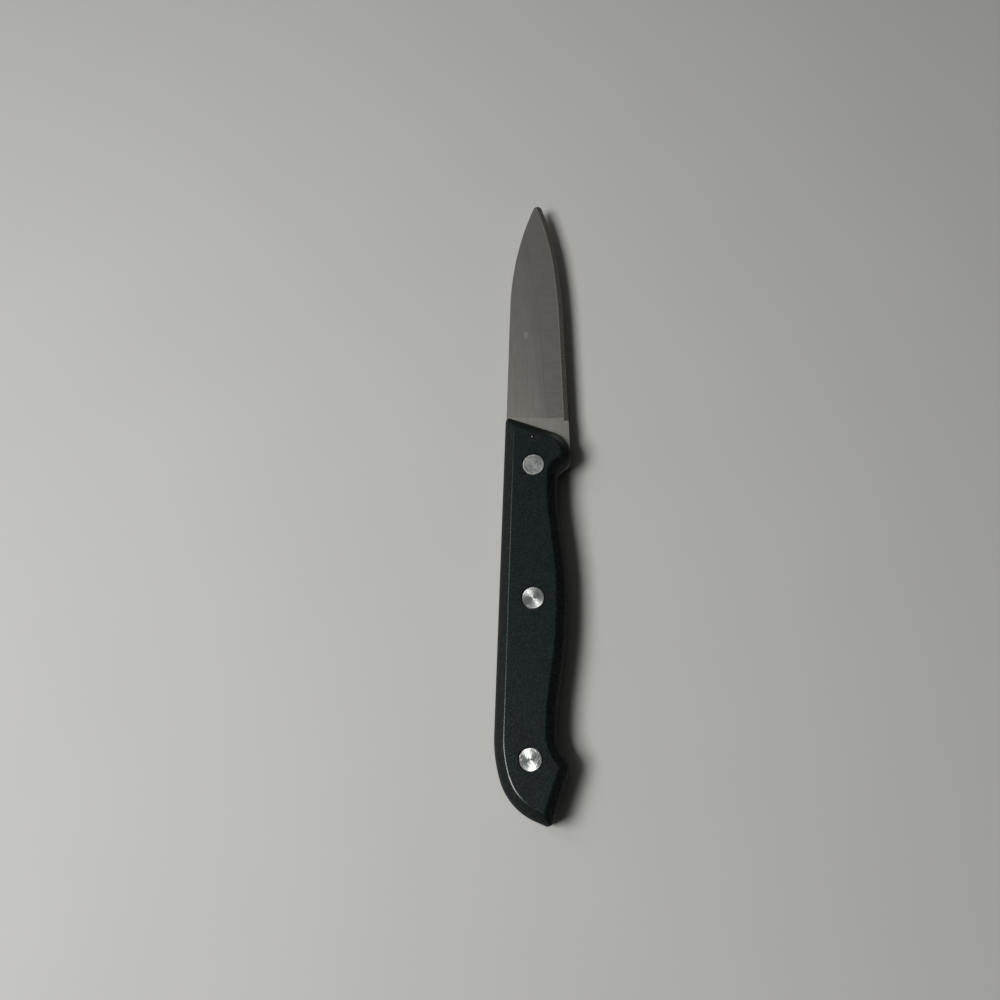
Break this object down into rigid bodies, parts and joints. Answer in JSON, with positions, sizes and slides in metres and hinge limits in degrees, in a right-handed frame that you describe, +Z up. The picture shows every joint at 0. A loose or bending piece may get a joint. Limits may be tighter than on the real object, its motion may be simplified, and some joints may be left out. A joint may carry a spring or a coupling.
{
  "type": "paring knife",
  "caption": "Small kitchen paring knife with a flat-ground pointed blade, a full tang, bevelled black moulded handle scales and flush round metal rivets.",
  "frame": {"origin": "centre of the bounding box at its base, on the plane that the knife lies on", "axes": "+Y along the knife towards the tip of the blade, +X towards the cutting edge, +Z up through the thickness, out of the right side"},
  "size_m": [0.0198, 0.1854, 0.012],
  "materials": {
    "blade_steel": "satin-ground stainless steel",
    "handle_plastic": "fine matte moulded plastic",
    "rivet_metal": "turned flush, satin"
  },
  "bodies": {
    "root": {"blade": "blade_steel", "right_scale": "handle_plastic", "left_scale": "handle_plastic", "front_rivet_stud": "rivet_metal", "front_rivet_sleeve": "rivet_metal", "middle_rivet_stud": "rivet_metal", "middle_rivet_sleeve": "rivet_metal", "rear_rivet_stud": "rivet_metal", "rear_rivet_sleeve": "rivet_metal"}
  },
  "joints": []
}
